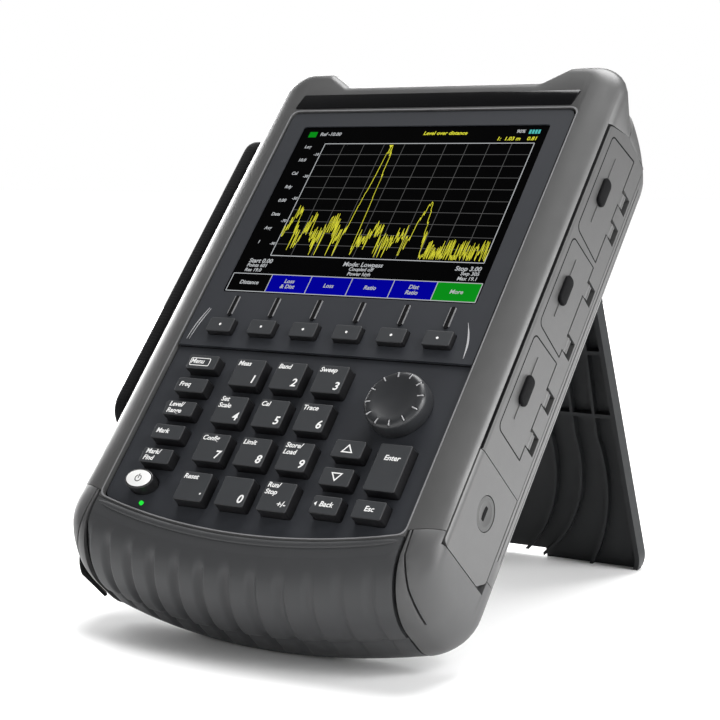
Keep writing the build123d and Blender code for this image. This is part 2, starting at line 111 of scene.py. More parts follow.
class Finish:
    # one material and the shader behind it
    def __init__(self, name):
        self.material = bpy.data.materials.new(name)
        self.material.use_nodes = True
        self.tree = self.material.node_tree
        self.tree.nodes.clear()
        self.output = self.tree.nodes.new("ShaderNodeOutputMaterial")
        self.shader = self.tree.nodes.new("ShaderNodeBsdfPrincipled")
        self.tree.links.new(self.shader.outputs[0], self.output.inputs["Surface"])

    def node(self, kind, settings=None, sockets=None, pick=0):
        made = self.tree.nodes.new(kind)
        for key, value in (settings or {}).items():
            setattr(made, key, value)
        for key, value in (sockets or {}).items():
            if isinstance(value, Wire):
                self.tree.links.new(value.socket, made.inputs[key])
            else:
                made.inputs[key].default_value = value
        return Wire(self.tree, made.outputs[pick])

    def feed(self, socketName, value):
        if isinstance(value, Wire):
            self.tree.links.new(value.socket, self.shader.inputs[socketName])
        else:
            self.shader.inputs[socketName].default_value = value

    def place(self):
        return self.node("ShaderNodeTexCoord", pick="Object")

    def noise(self, scale, detail=3.0, rough=0.55):
        return self.node("ShaderNodeTexNoise", {"noise_dimensions": "3D"},
                         {"Vector": self.place(), "Scale": scale, "Detail": detail, "Roughness": rough})

    def blend(self, factor, first, second):
        return self.node("ShaderNodeMix", {"data_type": "RGBA"}, {0: factor, 6: first, 7: second}, pick=2)

    def bump(self, height, strength, distance):
        return self.node("ShaderNodeBump", {}, {"Height": height, "Strength": strength, "Distance": distance})


grain = {"scale": 2600.0, "marks": 140.0, "drift": 18.0, "height": 0.00012, "weave": 0.0003}


def shade(colour, factor):
    return tuple(min(1.0, c * factor) for c in colour[:3]) + (1.0,)


def varied(finish, factor, colour, vary):
    return finish.blend(factor, shade(colour, 1 - vary), shade(colour, 1 + vary))


def mouldedFinish(name, look):
    # textured plastic or rubber: fine grain, faint handling marks and slow colour drift
    finish = Finish(name)
    drift = finish.noise(grain["drift"], 2.0)
    fine = finish.noise(grain["scale"], 2.0, 0.6)
    marks = finish.noise(look.get("markScale", grain["marks"]), 5.0, 0.7)
    finish.feed("Base Color", varied(finish, drift * 0.6 + marks * 0.4, look["colour"], look["vary"]))
    finish.feed("Roughness", look["rough"] + (marks - 0.5) * 0.16)
    finish.feed("Normal", finish.bump(fine * 0.8 + marks * 0.2, look["bump"], grain["height"]))
    finish.feed("Metallic", look.get("metal", 0.0))
    finish.feed("Specular IOR Level", look.get("specular", 0.5))
    finish.feed("Coat Weight", look.get("coat", 0.0))
    finish.feed("Coat Roughness", 0.1)
    return finish.material


def keyShadedSideFinish(name, look):
    # lighter top over near-black sides, told apart by the way the surface faces; the near-black sides are
    # painted shade
    finish = Finish(name)
    facing = finish.node("ShaderNodeVectorMath", {"operation": "DOT_PRODUCT"},
                         {0: finish.node("ShaderNodeTexCoord", pick="Normal"), 1: outFace}, pick="Value")
    top = finish.node("ShaderNodeMapRange", {"interpolation_type": "SMOOTHSTEP"},
                      {"Value": facing, "From Min": 0.55, "From Max": 0.9})
    marks = finish.noise(grain["marks"], 5.0, 0.7)
    fine = finish.noise(grain["scale"], 2.0, 0.6)
    worn = varied(finish, marks, look["colour"], look["vary"])
    finish.feed("Base Color", finish.blend(top, shade(look["side"], 1.0), worn))
    finish.feed("Roughness", look["rough"] + (marks - 0.5) * 0.14)
    finish.feed("Normal", finish.bump(fine * 0.8 + marks * 0.2, look["bump"], grain["height"]))
    finish.feed("Specular IOR Level", look["specular"])
    return finish.material


def wovenFinish(name, look):
    # nylon webbing and padded cloth: two crossed yarn waves, with fuzz between them
    finish = Finish(name)
    colour = look["colour"]
    waves = []
    for direction in ("X", "Y", "Z"):
        waves.append(finish.node("ShaderNodeTexWave", {"wave_type": "BANDS", "bands_direction": direction},
                                 {"Vector": finish.place(), "Scale": look["yarnScale"], "Distortion": 0.6,
                                  "Detail": 1.0, "Detail Scale": 2.0}, pick=1))
    weave = (waves[0] + waves[1] + waves[2]) * 0.333
    fuzz = finish.noise(900.0, 4.0, 0.7)
    tint = weave * 0.6 + fuzz * 0.4
    finish.feed("Base Color", finish.blend(tint, shade(colour, 0.55), shade(colour, 1.6)))
    finish.feed("Roughness", 0.82 + (fuzz - 0.5) * 0.2)
    finish.feed("Normal", finish.bump(weave * 0.7 + fuzz * 0.3, 0.6, grain["weave"]))
    finish.feed("Sheen Weight", 0.02)
    finish.feed("Sheen Roughness", 0.5)
    finish.feed("Specular IOR Level", 0.15)
    return finish.material


def litFinish(name, colour, power):
    # a lit element of the display, slightly uneven as a backlight is
    finish = Finish(name)
    glow = finish.noise(60.0, 1.0)
    finish.feed("Base Color", finish.blend(glow, shade(colour, 0.01), shade(colour, 0.02)))
    finish.feed("Emission Color", finish.blend(glow, shade(colour, 0.86), shade(colour, 1.0)))
    finish.feed("Emission Strength", power)
    finish.feed("Roughness", 0.5)
    finish.feed("Specular IOR Level", 0.0)
    return finish.material


looks = {
    "housing_plastic": {"colour": (0.064, 0.064, 0.064), "vary": 0.08, "rough": 0.38, "bump": 0.18,
                        "specular": 0.65},
    "bumper_rubber": {"colour": (0.062, 0.062, 0.063), "vary": 0.08, "rough": 0.44, "bump": 0.18,
                      "specular": 0.45},
    "grip_rubber": {"colour": (0.040, 0.041, 0.043), "vary": 0.10, "rough": 0.48, "bump": 0.16,
                    "specular": 0.35},
    # thumb_rubber: near-black rubber of the thumb tabs, also laid as painted shade in the panel groove, the
    # step line, the softkey cores, the boot's side gaps and the latch slot
    "thumb_rubber": {"colour": (0.003, 0.003, 0.0035), "vary": 0.15, "rough": 0.7, "bump": 0.2,
                     "specular": 0.10},
    "knob_rubber": {"colour": (0.020, 0.021, 0.023), "vary": 0.10, "rough": 0.36, "bump": 0.10,
                    "specular": 0.45},
    "panel_plastic": {"colour": (0.024, 0.026, 0.031), "vary": 0.10, "rough": 0.55, "bump": 0.20,
                      "specular": 0.3},
    "stand_plastic": {"colour": (0.010, 0.011, 0.012), "vary": 0.14, "rough": 0.55, "bump": 0.25,
                      "specular": 0.3},
    "battery_plastic": {"colour": (0.030, 0.030, 0.032), "vary": 0.10, "rough": 0.55, "bump": 0.25},
    "latch_grey": {"colour": (0.050, 0.050, 0.050), "vary": 0.08, "rough": 0.45, "bump": 0.2},
    # edge_grey and sliver_grey: light greys laid as painted highlights on the panel bead, the softkey ridges
    # and the shelf ends; edge_grey also colours the stitches, sliver_grey the knob nicks
    "edge_grey": {"colour": (0.20, 0.20, 0.205), "vary": 0.08, "rough": 0.35, "bump": 0.05},
    "sliver_grey": {"colour": (0.42, 0.42, 0.43), "vary": 0.05, "rough": 0.35, "bump": 0.05},
    "legend_ink": {"colour": (0.78, 0.78, 0.77), "vary": 0.05, "rough": 0.5, "bump": 0.1},
    "cap_white": {"colour": (0.80, 0.80, 0.79), "vary": 0.03, "rough": 0.18, "coat": 0.5, "bump": 0.03},
    "power_white": {"colour": (0.010, 0.010, 0.011), "vary": 0.08, "rough": 0.35, "bump": 0.05},
    "gloss_black": {"colour": (0.0015, 0.0015, 0.002), "vary": 0.10, "rough": 0.14, "specular": 0.3,
                    "bump": 0.02},
    "screen_glass": {"colour": (0.0004, 0.0004, 0.0005), "vary": 0.08, "rough": 0.18, "specular": 0.04,
                     "bump": 0.02},
    "steel": {"colour": (0.42, 0.41, 0.40), "vary": 0.08, "rough": 0.34, "metal": 1.0, "bump": 0.05},
    "inner_metal": {"colour": (0.55, 0.56, 0.57), "vary": 0.06, "rough": 0.38, "metal": 1.0, "bump": 0.06},
    "panel_metal": {"colour": (0.24, 0.24, 0.25), "vary": 0.06, "rough": 0.42, "metal": 1.0, "bump": 0.10},
    "circuit_board": {"colour": (0.02, 0.16, 0.06), "vary": 0.25, "rough": 0.42, "markScale": 700.0,
                      "bump": 0.3},
}
finishes = {name: mouldedFinish(name, look) for name, look in looks.items()}
# key tops keep their own colour; side is the near-black colour painted on the key sides as shade
keyLook = {"colour": (0.029, 0.031, 0.034), "side": (0.005, 0.005, 0.006), "vary": 0.10, "rough": 0.52,
           "bump": 0.12, "specular": 0.35}
finishes["key_rubber"] = keyShadedSideFinish("key_rubber", keyLook)
finishes["strap_fabric"] = wovenFinish("strap_fabric", {"colour": (0.004, 0.004, 0.0045), "yarnScale": 260.0})
litLooks = {"lit_white": ((0.62, 0.64, 0.66), 0.75), "lit_grid": ((0.10, 0.10, 0.10), 0.9),
            "lit_yellow": ((0.78, 0.76, 0.05), 0.95), "lit_blue": ((0.0008, 0.0008, 0.34), 0.95),
            "lit_green": ((0.004, 0.30, 0.012), 0.9), "lit_teal": ((0.10, 0.62, 0.60), 0.8),
            "lit_led": ((0.02, 0.75, 0.05), 1.2)}
for name, (colour, power) in litLooks.items():
    finishes[name] = litFinish(name, colour, power)
print("finishes made:", len(finishes))


def clearPick():
    if bpy.context.object and bpy.context.object.mode != "OBJECT":
        bpy.ops.object.mode_set(mode="OBJECT")
    bpy.ops.object.select_all(action="DESELECT")


def pickOnly(piece):
    clearPick()
    piece.select_set(True)
    bpy.context.view_layer.objects.active = piece


def loftSolid(name, rings):
    # closed solid through rings of equally many points, drawn out ring by ring
    clearPick()
    bpy.ops.mesh.primitive_circle_add(vertices=len(rings[0]), radius=1.0, fill_type="NGON")
    piece = bpy.context.object
    piece.name = name
    for vertex, point in zip(piece.data.vertices, rings[0]):
        vertex.co = point
    bpy.ops.object.mode_set(mode="EDIT")
    bpy.ops.mesh.select_all(action="SELECT")
    for before, after in zip(rings, rings[1:]):
        tree = KDTree(len(before))
        for number, point in enumerate(before):
            tree.insert(point, number)
        tree.balance()
        bpy.ops.mesh.extrude_region_move()
        shaped = bmesh.from_edit_mesh(piece.data)
        for vertex in shaped.verts:
            if vertex.select:
                vertex.co = after[tree.find(vertex.co)[1]]
        bmesh.update_edit_mesh(piece.data)
    bpy.ops.mesh.select_all(action="SELECT")
    bpy.ops.mesh.normals_make_consistent(inside=False)
    bpy.ops.object.mode_set(mode="OBJECT")
    return piece


def plate(name, outline, zLow, zHigh):
    # flat piece with that outline between two depths
    return loftSolid(name, [[Vector((x, y, z)) for x, y in outline] for z in (zLow, zHigh)])


def sidePlate(name, outline, xLow, xHigh):
    # flat piece on the side wall; its outline is in (y, z)
    return loftSolid(name, [[Vector((x, y, z)) for y, z in outline] for x in (xLow, xHigh)])


def rounded(corners, steps=6):
    # outline through corners given as (a, b, radius); radius 0 keeps the point
    points = []
    for number, (a, b, radius) in enumerate(corners):
        here = Vector((a, b))
        before = Vector(corners[number - 1][:2])
        after = Vector(corners[(number + 1) % len(corners)][:2])
        if radius <= 0:
            points.append((a, b))
            continue
        toBefore = (before - here).normalized()
        toAfter = (after - here).normalized()
        half = toBefore.angle(toAfter) / 2
        reach = radius / math.tan(half)
        centre = here + (toBefore + toAfter).normalized() * (radius / math.sin(half))
        start = here + toBefore * reach - centre
        end = here + toAfter * reach - centre
        for step in range(steps + 1):
            share = step / steps
            turn = start.angle_signed(end) * share
            spoke = Matrix.Rotation(-turn, 2) @ start
            points.append(tuple(centre + spoke))
    return points


def roundedBox(width, height, radius, x=0.0, y=0.0, steps=5):
    w = width / 2
    h = height / 2
    return rounded([(x - w, y - h, radius), (x + w, y - h, radius), (x + w, y + h, radius),
                    (x - w, y + h, radius)], steps)


def ellipse(x, y, wide, high, steps=48):
    return [(x + wide * math.cos(t * 2 * math.pi / steps), y + high * math.sin(t * 2 * math.pi / steps))
            for t in range(steps)]


def combine(piece, cutter, operation="DIFFERENCE"):
    pickOnly(piece)
    change = piece.modifiers.new("change", "BOOLEAN")
    change.operation = operation
    change.solver = "MANIFOLD"
    change.object = cutter
    bpy.ops.object.modifier_apply(modifier=change.name)
    bpy.data.objects.remove(cutter)
    return piece


def soften(piece, width, segments=2, sharp=38.0):
    pickOnly(piece)
    edge = piece.modifiers.new("edge", "BEVEL")
    edge.width = width
    edge.segments = segments
    edge.limit_method = "ANGLE"
    edge.angle_limit = math.radians(sharp)
    edge.use_clamp_overlap = True
    bpy.ops.object.modifier_apply(modifier=edge.name)
    return piece


def settle(piece, body, slotName, finishName=None, standsFor=(), angle=32.0):
    # lay the piece back, give it its finish and let it ride on its body
    pickOnly(piece)
    bpy.ops.object.transform_apply(location=True, rotation=True, scale=True)
    piece.data.transform(layBack)
    piece.data.materials.clear()
    piece.data.materials.append(finishes[finishName or slotName])
    bpy.ops.object.shade_smooth_by_angle(angle=math.radians(angle))
    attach(piece, body)
    if standsFor:
        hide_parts(*standsFor)
    return piece


def joinAll(pieces, name):
    clearPick()
    for piece in pieces:
        piece.select_set(True)
    bpy.context.view_layer.objects.active = pieces[0]
    if len(pieces) > 1:
        bpy.ops.object.join()
    pieces[0].name = name
    return pieces[0]


letterLook = {"thick": 0.03, "bold": 0.02, "fineness": 3}


def lettering(name, words, size, x, y, z, align="LEFT", slant=0.0):
    clearPick()
    bpy.ops.object.text_add(location=(0, 0, 0))
    text = bpy.context.object
    text.data.body = words
    text.data.size = size
    text.data.align_x = align
    text.data.align_y = "CENTER"
    text.data.extrude = letterLook["thick"]
    text.data.shear = slant
    text.data.resolution_u = letterLook["fineness"]
    text.data.offset = size * letterLook["bold"]
    text.name = name
    bpy.ops.object.convert(target="MESH")
    text = bpy.context.object
    for vertex in text.data.vertices:
        vertex.co = (x + vertex.co.x, y + vertex.co.y, z + vertex.co.z)
    return text


studio = {"cameraAt": (0.4450, -0.6091, 0.2073), "turn": (83.55, 0.0, 33.12), "lens": 91.08,
          "floorColour": (0.93, 0.93, 0.93), "worldLight": 0.2,
          "sun": 3.5, "sunSpread": 42.0, "sunTurn": (-22.0, -5.0, 0.0)}
cameraData = bpy.data.cameras.new("camera")
cameraData.lens = studio["lens"]
cameraData.sensor_width = 36.0
cameraObject = bpy.data.objects.new("camera", cameraData)
cameraObject.location = studio["cameraAt"]
cameraObject.rotation_euler = [math.radians(a) for a in studio["turn"]]
bpy.context.collection.objects.link(cameraObject)
bpy.context.scene.camera = cameraObject
bpy.context.scene.view_settings.view_transform = "Standard"

lamps = {
    "rightSoft": {"at": (1.25, 0.15, 0.55), "to": (0.09, 0.05, 0.12), "size": 0.9, "watts": 17.0},
    "shoulderStrip": {"at": (1.0, -0.05, 0.95), "to": (0.09, 0.05, 0.12), "size": 0.3, "watts": 5.0},
    "leftSoft": {"at": (-1.25, 0.68, 0.38), "to": (-0.08, 0.05, 0.12), "size": 0.8, "watts": 14.0},
    "backLeft": {"at": (-1.1, 1.3, 0.35), "to": (-0.05, 0.05, 0.15), "size": 1.3, "watts": 34.0},
    "frontFill": {"at": (0.35, -1.3, 0.45), "to": (0, 0.0, 0.08), "size": 0.9, "watts": 4.0},
}
for name, lamp in lamps.items():
    lampData = bpy.data.lights.new(name, "AREA")
    lampData.size = lamp["size"]
    lampData.energy = lamp["watts"]
    lampObject = bpy.data.objects.new(name, lampData)
    lampObject.location = lamp["at"]
    aim = Vector(lamp["to"]) - Vector(lamp["at"])
    lampObject.rotation_euler = aim.to_track_quat("-Z", "Y").to_euler()
    bpy.context.collection.objects.link(lampObject)

sunData = bpy.data.lights.new("openSky", "SUN")
sunData.energy = studio["sun"]
sunData.angle = math.radians(studio["sunSpread"])
sunObject = bpy.data.objects.new("openSky", sunData)
sunObject.rotation_euler = [math.radians(a) for a in studio["sunTurn"]]
bpy.context.collection.objects.link(sunObject)

world = bpy.data.worlds.new("studio")
bpy.context.scene.world = world
world.use_nodes = True
sky = world.node_tree
seen = sky.nodes.new("ShaderNodeLightPath")
plain = sky.nodes["Background"]
plain.inputs["Color"].default_value = (1, 1, 1, 1)
level = sky.nodes.new("ShaderNodeMapRange")
level.inputs["To Min"].default_value = studio["worldLight"]
level.inputs["To Max"].default_value = 1.0
sky.links.new(seen.outputs["Is Camera Ray"], level.inputs["Value"])
sky.links.new(level.outputs[0], plain.inputs["Strength"])

clearPick()
bpy.ops.mesh.primitive_plane_add(size=14.0, location=(0, 0, 0))
floor = bpy.context.object
floor.name = "floor"
floorFinish = Finish("floor")
floorGrain = floorFinish.noise(40.0, 2.0)
floorFinish.feed("Base Color", floorFinish.blend(floorGrain, shade(studio["floorColour"], 0.995),
                                                 studio["floorColour"] + (1.0,)))
floorFinish.feed("Roughness", 0.7)
floorFinish.feed("Specular IOR Level", 0.1)
floor.data.materials.append(floorFinish.material)
print("camera, lights and floor set")


case = {"half": 94.0, "hornTop": 88.0, "bezelTop": 79.0, "low": -204.0, "arcRadius": 311.0,
        "frontRound": 28.0, "rearRound": 19.0, "rear": -57.0, "seam": -23.0, "shoulderWide": 15.0,
        "shoulderDeep": 7.5, "topRound": 6.0, "rearFillet": 9.0, "bootHalf": 79.5, "bootCrown": -174.5,
        "bumperCrown": -171.5, "panelHalf": 77.5, "panelTop": 60.0, "panelCrown": -172.7,
        "bulgeLow": 47.0, "bulgeHigh": 34.0, "bulgeFrom": -20.0, "bulgeDeep": 40.0,
        "straightTo": -46.0, "levelStep": 2.2}


def arcY(x, crown):
    return crown + case["arcRadius"] - math.sqrt(case["arcRadius"] ** 2 - x ** 2)


def quarter(depth, radius):
    # how far a rounded edge of that radius has drawn in, depth past its start
    return radius - math.sqrt(max(0.0, radius ** 2 - min(depth, radius) ** 2))


def insetsAt(z):
    # inset of the sides, the horn tops, the bezel top and the bottom edge at depth z
    side = 0.0
    if z > -case["shoulderDeep"]:
        share = min(1.0, (z + case["shoulderDeep"]) / case["shoulderDeep"])
        side = case["shoulderWide"] * (1 - math.sqrt(max(0.0, 1 - share ** 2)))
    if z < case["rear"] + case["rearFillet"]:
        side = quarter(case["rear"] + case["rearFillet"] - z, case["rearFillet"])
    front = quarter(z + case["topRound"], case["topRound"]) if z > -case["topRound"] else 0.0
    horn = front + max(0.0, min(9.5, (-9.0 - z) * 0.78))
    bezel = front
    if z < case["seam"]:
        share = min(1.0, (case["bulgeFrom"] - z) / case["bulgeDeep"])
        crown = case["bulgeLow"] + case["bulgeHigh"] * math.sqrt(max(0.0, 1 - share ** 2))
        horn = case["hornTop"] - crown
        bezel = max(0.0, case["bezelTop"] - crown)
    bottom = 0.0
    if z > 1 - case["frontRound"]:
        bottom = quarter(z - 1 + case["frontRound"], case["frontRound"])
    if z < case["rear"] - 1 + case["rearRound"]:
        bottom = quarter(case["rear"] - 1 + case["rearRound"] - z, case["rearRound"])
    return side, horn, bezel, bottom


def caseRing(z, extra=0.0, arcSteps=40, crease=None):
    side, horn, bezel, bottom = insetsAt(z)
    half = case["half"] - side - extra
    hornY = case["hornTop"] - horn - extra
    bezelY = min(case["bezelTop"] - bezel - extra, hornY - 0.5)
    crown = case["low"] + bottom + extra
    cornerLow = max(20.0 - side - extra * 0.5, 7.0)
    cornerHigh = max(15.0 - side * 0.6 - extra * 0.5, 5.0)
    lowY = arcY(half, crown)
    arc = []
    reach = half - cornerLow * 0.9
    for step in range(1, arcSteps):
        x = -reach + 2 * reach * step / arcSteps
        arc.append((x, arcY(x, crown), 0.0))
    corners = [(-half, lowY, cornerLow)] + arc + [(half, lowY, cornerLow)]
    for step in range(1, 12):
        corners.append((half, lowY + 24 + (hornY - lowY - 44) * step / 12, 0.0))
    inner = min(66.0, half - cornerHigh - 7)
    corners += [(half, hornY, cornerHigh), (inner, hornY, 6.0), (inner - 13, bezelY, 6.0)]
    for step in range(1, 8):
        corners.append(((inner - 20) * (1 - step / 4), bezelY, 0.0))
    corners += [(13 - inner, bezelY, 6.0), (-inner, hornY, 6.0), (-half, hornY, cornerHigh)]
    for step in range(1, 12):
        corners.append((-half, hornY - 20 - (hornY - lowY - 44) * step / 12, 0.0))
    ring = []
    for x, y in rounded(corners, 8):
        point = Vector((x, y, z))
        ring.append(crease(point, crown) if crease else point)
    return ring


def depthLevels(front, rear, fine):
    # depths from front to rear, closer together where the edges are round
    levels = []
    for step in range(fine + 1):
        levels.append(-case["shoulderDeep"] * (1 - math.cos(math.pi / 2 * step / fine)))
    z = -case["shoulderDeep"]
    while z > case["straightTo"]:
        z -= case["levelStep"]
        levels.append(z)
    for step in range(1, fine + 1):
        levels.append(z + (case["rear"] - z) * math.sin(math.pi / 2 * step / fine))
    kept = [level for level in levels if rear < level < front]
    return [front] + kept + [rear]


def caseSolid(name, front, rear, extra=0.0, arcSteps=40, fine=7, crease=None):
    return loftSolid(name, [caseRing(z, extra, arcSteps, crease) for z in depthLevels(front, rear, fine)])


def belowArc(name, crown, half, zLow=-80.0, zHigh=20.0):
    outline = []
    for step in range(41):
        x = -half + 2 * half * step / 40
        outline.append((x, arcY(x, crown)))
    outline += [(half, -260.0), (-half, -260.0)]
    return plate(name, outline, zLow, zHigh)


def block(name, low, high):
    return plate(name, [(low[0], low[1]), (high[0], low[1]), (high[0], high[1]), (low[0], high[1])],
                 low[2], high[2])


def panelOutline(grow):
    half = case["panelHalf"] + grow
    crown = case["panelCrown"] - grow
    corners = [(-half, arcY(half, crown), 4.0)]
    for step in range(1, 30):
        x = -half + 2 * half * step / 30
        if abs(x) < half - 6:
            corners.append((x, arcY(x, crown), 0.0))
    corners += [(half, arcY(half, crown), 4.0), (half, case["panelTop"] + grow, 4.0),
                (-half, case["panelTop"] + grow, 4.0)]
    return rounded(corners, 5)


pockets = {"window": (-110, 49, -35, -13), "batteryHole": (-160, -121, -44, -8),
           "doorGap": (-163, -118.1, -44.5, -4.5), "recess": ((-58, 60, -50), (58, 100, -11))}


def sideHole(name, xLow, xHigh=97.0):
    # square-cornered cut through the right-hand wall
    low, high, back, front = pockets[name]
    return sidePlate(name, [(low, back), (low, front), (high, front), (high, back)], xLow, xHigh)


def cutCasing(piece):
    # pockets shared by both halves: port frame, battery door, connector recess, boot and bumpers
    frameLow, frameHigh = faceBox("side_port_frame")
    pocket = [(frameLow.y - 0.15, -4.6), (54.6, -4.6), (frameHigh.y + 0.1, -22.0), (frameHigh.y + 0.1, -44.7),
              (frameLow.y - 0.15, -44.7)]
    combine(piece, sidePlate("pocket", pocket, 87.9, 97.0))
    combine(piece, sideHole("window", 81.0, 92.0))
    combine(piece, sideHole("doorGap", 91.0))
    combine(piece, sideHole("batteryHole", 79.0))
    combine(piece, block("recess", *pockets["recess"]))
    combine(piece, belowArc("bootCut", case["bootCrown"] + 0.35, case["bootHalf"] + 0.3))
    bumperCut = belowArc("bumperCut", case["bumperCrown"] + 0.3, 120.0)
    bootEdge = case["bootHalf"] - 1
    combine(bumperCut, block("keepMiddle", (-bootEdge, -300, -90), (bootEdge, 0, 30)))
    combine(piece, bumperCut)


# front housing: broad soft shoulders, horns, and the rebate for the panel
housing = {"wall": 4.2, "panelDepth": 3.4, "edge": 0.35}
frontHousing = caseSolid("frontHousing", 0.0, case["seam"] + 0.15)
combine(frontHousing, caseSolid("hollow", -4.0, case["seam"] - 4.0, housing["wall"]))
combine(frontHousing, plate("panelSeat", panelOutline(0.25), -housing["panelDepth"], 20.0))
combine(frontHousing, plate("panelWindow", panelOutline(-3.0), -40.0, 20.0))
cutCasing(frontHousing)
soften(frontHousing, housing["edge"])
settle(frontHousing, "root", "housing_plastic", standsFor=["front_housing"])
print("front housing done")

# rear cover: bulged crown, stand bay, hinge lugs and screw holes
rearLook = {"wall": 4.0, "edge": 0.4, "lugs": (-60.0, 52.0), "lugWide": 8.0, "lugRound": 3.3,
            "screwRadius": 2.9, "screws": [(-82.0, 54.0), (82.0, 54.0), (-82.0, -56.0), (-82.0, -146.0),
                                           (77.5, -115.0)],
            "lines": (-46.6, -49.6), "lineHalf": 0.3}
rearCover = caseSolid("rearCover", case["seam"] - 0.15, case["rear"])
combine(rearCover, caseSolid("hollow", case["seam"] + 4.0, case["rear"] + 3.0, rearLook["wall"]))
combine(rearCover, block("bay", (-78, -146, case["rear"] - 5), (78, 50, case["rear"] + 1.5)))
cutCasing(rearCover)
hingeLow, hingeHigh = faceBox("stand_hinge_pin")
hingeY = (hingeLow.y + hingeHigh.y) / 2
hingeZ = (hingeLow.z + hingeHigh.z) / 2
lugRoot = case["rear"] + 3.0
lugOutline = rounded([(hingeY - 5.0, lugRoot, 0), (hingeY - 3.5, hingeZ - 3.6, rearLook["lugRound"]),
                      (hingeY + 3.5, hingeZ - 3.6, rearLook["lugRound"]), (hingeY + 5.0, lugRoot, 0)], 8)
for lugX in rearLook["lugs"]:
    combine(rearCover, sidePlate("lug", lugOutline, lugX, lugX + rearLook["lugWide"]), "UNION")
for x, y in rearLook["screws"]:
    bore = ellipse(x, y, rearLook["screwRadius"], rearLook["screwRadius"], 24)
    combine(rearCover, plate("screwBore", bore, case["rear"] - 6.0, case["rear"] + 5.0))
for z in rearLook["lines"]:
    half = rearLook["lineHalf"]
    combine(rearCover, sidePlate("borderLine", [(-146, z - half), (-146, z + half), (52, z + half),
                                                (52, z - half)], 93.3, 97.0))
soften(rearCover, rearLook["edge"])
settle(rearCover, "root", "housing_plastic", standsFor=["rear_cover"])
print("rear cover done")

# grip boot: lip along the panel, then upright scallops that fade towards the right
boot = {"pitch": 13.4, "depth": 2.3, "start": -76.0, "fadeFrom": -15.0, "fadeTo": 50.0, "seamAt": -30.5,
        "seamWide": 0.9, "seamDeep": 1.2, "underStep": 0.7, "sideGap": 1.4, "lipHigh": 1.0, "lipWide": 1.5,
        "arcSteps": 260, "frontLevels": [0.35 - 0.35 * i / 3 - 1.2 * max(0, i - 3) for i in range(46)],
        "rearLevels": [-51.6, -53.0, -54.3, -55.4, -56.3, -57.0]}


def smooth(value, low, high):
    share = max(0.0, min(1.0, (value - low) / (high - low)))
    return share * share * (3 - 2 * share)


def scallop(point, crown):
    # draws a point of the boot's skin inwards along the side profile's normal
    if point.y > arcY(point.x, crown) + 3.0 or abs(point.x) > case["bootHalf"]:
        return point
    centre = Vector((0, case["low"] + case["frontRound"] + arcY(point.x, 0.0), 1 - case["frontRound"]))
    outwards = Vector((0, point.y - centre.y, max(0.0, point.z - centre.z)))
    outwards.normalize()
    phase = ((point.x - boot["start"]) / boot["pitch"]) % 1.0
    release = 1 - smooth(phase, 0.86, 1.0)
    groove = smooth(phase, 0.50, 0.80) * release + 0.25 * phase * release
    fade = 0.30 + 0.70 * (1 - smooth(point.x, boot["fadeFrom"], boot["fadeTo"]))
    under = smooth(-point.z, 0.5, 6.0) * (1 - smooth(-point.z, 36.0, 44.0))
    seamLine = math.exp(-((point.z - boot["seamAt"]) / boot["seamWide"]) ** 2) * boot["seamDeep"]
    below = smooth(boot["seamAt"] - point.z, 0.0, 1.0) * (1 - smooth(-point.z, 44.0, 54.0))
    below *= boot["underStep"]
    return point - outwards * (groove * boot["depth"] * fade * under + seamLine + below)


gripBoot = loftSolid("gripBoot", [caseRing(z, 0.0, boot["arcSteps"], scallop)
                                  for z in boot["frontLevels"] + boot["rearLevels"]])
combine(gripBoot, belowArc("bootZone", case["bootCrown"], case["bootHalf"] - boot["sideGap"]), "INTERSECT")
settle(gripBoot, "root", "grip_rubber", standsFor=["grip_boot"], angle=50.0)


def standOnTable(piece):
    # worn flat where it rests
    for vertex in piece.data.vertices:
        vertex.co.z = max(vertex.co.z, 0.0)


standOnTable(gripBoot)

# rounded bead along the boot's upper edge, and the core seen in its side gaps, given the near-black thumb
# rubber finish as painted shade in the gaps
beadRings = []
for step in range(61):
    x = (case["bootHalf"] - 2.5) * (step / 30 - 1)
    taper = math.sqrt(max(0.02, 1 - (step / 30 - 1) ** 12))
    y = arcY(x, case["bootCrown"] - boot["lipWide"] - 0.3)
    beadRings.append([Vector((x, y + boot["lipWide"] * taper * math.cos(t * math.pi / 8),
                              0.2 + boot["lipHigh"] * taper * math.sin(t * math.pi / 8))) for t in range(16)])
bootLip = loftSolid("bootLip", beadRings)
settle(bootLip, "root", "grip_rubber", angle=60.0)
shadedBootCore = caseSolid("shadedBootCore", -2.5, case["rear"] + 2.5, 2.5, 60, 5)
combine(shadedBootCore, belowArc("coreZone", case["bootCrown"] - 3.0, 84.0, zLow=-54.0, zHigh=-2.5), "INTERSECT")
combine(shadedBootCore, block("coreMiddle", (-74, -300, -90), (74, 0, 30)))
# near-black finish instead of the boot's rubber: painted shade in the side gaps
settle(shadedBootCore, "root", "grip_rubber", "thumb_rubber", angle=45.0)
standOnTable(shadedBootCore)
print("boot done")

# corner bumpers with one thin accent groove each
bumper = {"accentWide": 0.75, "accentPath": [(80.6, -157.0), (81.6, -172.0), (84.6, -183.0), (88.8, -192.0)]}
bumpers = caseSolid("cornerBumpers", 0.2, case["rear"], arcSteps=120, fine=9)
combine(bumpers, belowArc("bumperZone", case["bumperCrown"], 120.0), "INTERSECT")
bootEdge = case["bootHalf"] + 0.3
combine(bumpers, block("bumperMiddle", (-bootEdge, -300, -90), (bootEdge, 0, 30)))
combine(bumpers, block("bumperRoom", (-86, -176, -46.0), (86, -100.0, -14.0)))
combine(bumpers, sideHole("doorGap", 91.0))
for side in (-1, 1):
    outer = [(side * (x + bumper["accentWide"] / 2), y) for x, y in bumper["accentPath"]]
    inner = [(side * (x - bumper["accentWide"] / 2), y - 0.4) for x, y in reversed(bumper["accentPath"])]
    combine(bumpers, plate("accent", outer + inner, -24.0, 5.0))
